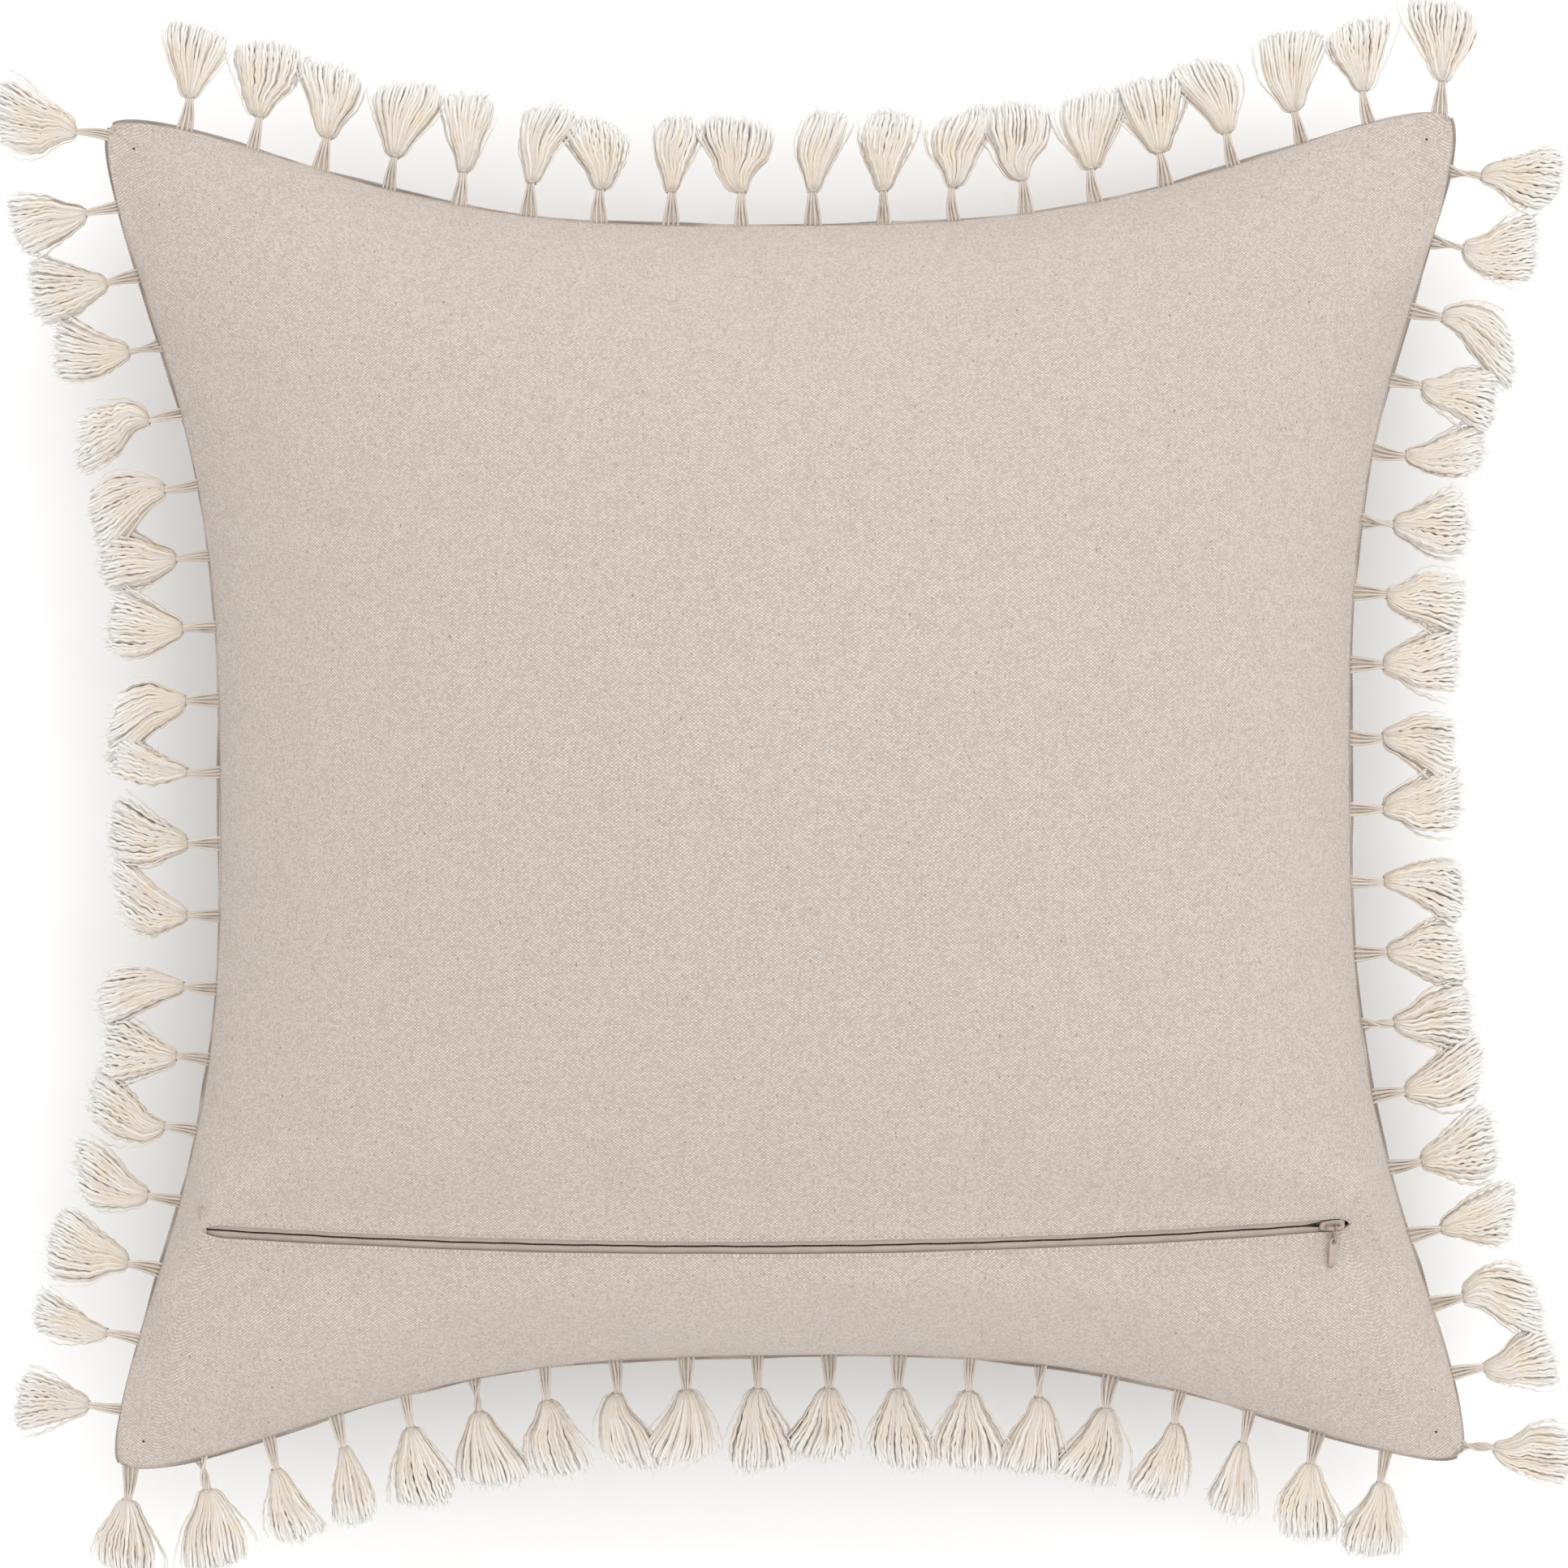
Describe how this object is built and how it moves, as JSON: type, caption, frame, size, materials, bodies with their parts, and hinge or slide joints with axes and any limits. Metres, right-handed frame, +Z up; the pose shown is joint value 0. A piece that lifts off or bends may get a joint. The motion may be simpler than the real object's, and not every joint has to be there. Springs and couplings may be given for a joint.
{
  "type": "throw pillow",
  "caption": "Square cotton throw pillow with a zipped back, a crowned soft body and knotted tassels all round its seam.",
  "frame": {"origin": "middle of the flat patch that the pillow rests on, at the middle of its outline", "axes": "+Z up, out of the zipped back face; +X along the zip towards its closed end; +Y from the zip to the far seam"},
  "size_m": [0.5178, 0.5178, 0.1507],
  "materials": {
    "back_cloth": "matte",
    "front_cloth": "matte",
    "casing_cloth": "matte",
    "fibre_filling": "matte",
    "fringe_cotton": "matte",
    "sewing_thread": "matte",
    "dark_thread": "matte",
    "zip_tape": "matte",
    "zip_coil": "satin",
    "slider_paint": "satin",
    "link_wire": "satin",
    "pull_tab": "satin"
  },
  "bodies": {
    "cushion": {"front_panel": "front_cloth", "back_panel_upper": "back_cloth", "back_panel_lower": "back_cloth", "insert_casing_front": "casing_cloth", "insert_casing_back": "casing_cloth", "insert_filling": "fibre_filling", "fringe_header": "fringe_cotton", "seam_overlock": "sewing_thread", "zip_tape_upper": "zip_tape", "zip_coil_upper": "zip_coil", "zip_tape_lower": "zip_tape", "zip_coil_lower": "zip_coil", "zip_end_tacks": "dark_thread", "corner_tacks": "dark_thread"},
    "slider": {"zip_slider": "slider_paint"},
    "pull_link": {"zip_pull_link": "link_wire"},
    "pull_tab": {"zip_pull_tab": "pull_tab"},
    "tassels_top_1": {"tassels_top_1": "fringe_cotton", "tassel_ties_top_1": "fringe_cotton"},
    "tassels_top_2": {"tassels_top_2": "fringe_cotton", "tassel_ties_top_2": "fringe_cotton"},
    "tassels_top_3": {"tassels_top_3": "fringe_cotton", "tassel_ties_top_3": "fringe_cotton"},
    "tassels_top_4": {"tassels_top_4": "fringe_cotton", "tassel_ties_top_4": "fringe_cotton"},
    "tassels_top_5": {"tassels_top_5": "fringe_cotton", "tassel_ties_top_5": "fringe_cotton"},
    "tassels_right_1": {"tassels_right_1": "fringe_cotton", "tassel_ties_right_1": "fringe_cotton"},
    "tassels_right_2": {"tassels_right_2": "fringe_cotton", "tassel_ties_right_2": "fringe_cotton"},
    "tassels_right_3": {"tassels_right_3": "fringe_cotton", "tassel_ties_right_3": "fringe_cotton"},
    "tassels_right_4": {"tassels_right_4": "fringe_cotton", "tassel_ties_right_4": "fringe_cotton"},
    "tassels_right_5": {"tassels_right_5": "fringe_cotton", "tassel_ties_right_5": "fringe_cotton"},
    "tassels_bottom_1": {"tassels_bottom_1": "fringe_cotton", "tassel_ties_bottom_1": "fringe_cotton"},
    "tassels_bottom_2": {"tassels_bottom_2": "fringe_cotton", "tassel_ties_bottom_2": "fringe_cotton"},
    "tassels_bottom_3": {"tassels_bottom_3": "fringe_cotton", "tassel_ties_bottom_3": "fringe_cotton"},
    "tassels_bottom_4": {"tassels_bottom_4": "fringe_cotton", "tassel_ties_bottom_4": "fringe_cotton"},
    "tassels_bottom_5": {"tassels_bottom_5": "fringe_cotton", "tassel_ties_bottom_5": "fringe_cotton"},
    "tassels_left_1": {"tassels_left_1": "fringe_cotton", "tassel_ties_left_1": "fringe_cotton"},
    "tassels_left_2": {"tassels_left_2": "fringe_cotton", "tassel_ties_left_2": "fringe_cotton"},
    "tassels_left_3": {"tassels_left_3": "fringe_cotton", "tassel_ties_left_3": "fringe_cotton"},
    "tassels_left_4": {"tassels_left_4": "fringe_cotton", "tassel_ties_left_4": "fringe_cotton"},
    "tassels_left_5": {"tassels_left_5": "fringe_cotton", "tassel_ties_left_5": "fringe_cotton"}
  },
  "joints": [
    {"name": "slider_run", "type": "hinge", "parent": "cushion", "child": "slider", "pos_m": [0, -0.04355, -0.48351], "axis": [0, 0.9855, 0.1699], "range_deg": [-34.49, 0]},
    {"name": "pull_link_swing", "type": "hinge", "parent": "slider", "child": "pull_link", "pos_m": [0.17728, -0.14336, 0.09286], "axis": [-0.957, -0.0493, 0.2858], "range_deg": [0, 150]},
    {"name": "pull_tab_swing", "type": "hinge", "parent": "pull_link", "child": "pull_tab", "pos_m": [0.17698, -0.14764, 0.09109], "axis": [0.2824, -0.3836, 0.8793], "range_deg": [-60, 60]},
    {"name": "tassel_top_1_swing", "type": "hinge", "parent": "cushion", "child": "tassels_top_1", "pos_m": [-0.16275, 0.21055, 0.066], "axis": [0.9592, -0.2826, 0], "range_deg": [-68, 92]},
    {"name": "tassel_top_2_swing", "type": "hinge", "parent": "cushion", "child": "tassels_top_2", "pos_m": [-0.07136, 0.19116, 0.066], "axis": [0.9946, -0.1037, 0], "range_deg": [-68, 92]},
    {"name": "tassel_top_3_swing", "type": "hinge", "parent": "cushion", "child": "tassels_top_3", "pos_m": [0.01048, 0.18734, 0.066], "axis": [1, 0.0053, 0], "range_deg": [-68, 92]},
    {"name": "tassel_top_4_swing", "type": "hinge", "parent": "cushion", "child": "tassels_top_4", "pos_m": [0.09197, 0.19399, 0.066], "axis": [0.9874, 0.158, 0], "range_deg": [-68, 92]},
    {"name": "tassel_top_5_swing", "type": "hinge", "parent": "cushion", "child": "tassels_top_5", "pos_m": [0.18296, 0.21674, 0.066], "axis": [0.9704, 0.2414, 0], "range_deg": [-68, 92]},
    {"name": "tassel_right_1_swing", "type": "hinge", "parent": "cushion", "child": "tassels_right_1", "pos_m": [0.21223, 0.16801, 0.066], "axis": [-0.2771, -0.9609, 0], "range_deg": [-68, 92]},
    {"name": "tassel_right_2_swing", "type": "hinge", "parent": "cushion", "child": "tassels_right_2", "pos_m": [0.19169, 0.07545, 0.066], "axis": [-0.1141, -0.9935, 0], "range_deg": [-68, 92]},
    {"name": "tassel_right_3_swing", "type": "hinge", "parent": "cushion", "child": "tassels_right_3", "pos_m": [0.18732, -0.00748, 0.066], "axis": [0.0037, -1, 0], "range_deg": [-68, 92]},
    {"name": "tassel_right_4_swing", "type": "hinge", "parent": "cushion", "child": "tassels_right_4", "pos_m": [0.19375, -0.09017, 0.066], "axis": [0.1532, -0.9882, 0], "range_deg": [-68, 92]},
    {"name": "tassel_right_5_swing", "type": "hinge", "parent": "cushion", "child": "tassels_right_5", "pos_m": [0.21662, -0.18247, 0.066], "axis": [0.2422, -0.9702, 0], "range_deg": [-68, 92]},
    {"name": "tassel_bottom_1_swing", "type": "hinge", "parent": "cushion", "child": "tassels_bottom_1", "pos_m": [0.16275, -0.21055, 0.066], "axis": [-0.9592, 0.2826, 0], "range_deg": [-68, 92]},
    {"name": "tassel_bottom_2_swing", "type": "hinge", "parent": "cushion", "child": "tassels_bottom_2", "pos_m": [0.07136, -0.19116, 0.066], "axis": [-0.9946, 0.1037, 0], "range_deg": [-68, 92]},
    {"name": "tassel_bottom_3_swing", "type": "hinge", "parent": "cushion", "child": "tassels_bottom_3", "pos_m": [-0.01048, -0.18734, 0.066], "axis": [-1, -0.0053, 0], "range_deg": [-68, 92]},
    {"name": "tassel_bottom_4_swing", "type": "hinge", "parent": "cushion", "child": "tassels_bottom_4", "pos_m": [-0.09197, -0.19399, 0.066], "axis": [-0.9874, -0.158, 0], "range_deg": [-68, 92]},
    {"name": "tassel_bottom_5_swing", "type": "hinge", "parent": "cushion", "child": "tassels_bottom_5", "pos_m": [-0.18296, -0.21674, 0.066], "axis": [-0.9704, -0.2414, 0], "range_deg": [-68, 92]},
    {"name": "tassel_left_1_swing", "type": "hinge", "parent": "cushion", "child": "tassels_left_1", "pos_m": [-0.21223, -0.16801, 0.066], "axis": [0.2771, 0.9609, 0], "range_deg": [-68, 92]},
    {"name": "tassel_left_2_swing", "type": "hinge", "parent": "cushion", "child": "tassels_left_2", "pos_m": [-0.19169, -0.07545, 0.066], "axis": [0.1141, 0.9935, 0], "range_deg": [-68, 92]},
    {"name": "tassel_left_3_swing", "type": "hinge", "parent": "cushion", "child": "tassels_left_3", "pos_m": [-0.18732, 0.00748, 0.066], "axis": [-0.0037, 1, 0], "range_deg": [-68, 92]},
    {"name": "tassel_left_4_swing", "type": "hinge", "parent": "cushion", "child": "tassels_left_4", "pos_m": [-0.19375, 0.09017, 0.066], "axis": [-0.1532, 0.9882, 0], "range_deg": [-68, 92]},
    {"name": "tassel_left_5_swing", "type": "hinge", "parent": "cushion", "child": "tassels_left_5", "pos_m": [-0.21662, 0.18247, 0.066], "axis": [-0.2422, 0.9702, 0], "range_deg": [-68, 92]}
  ]
}
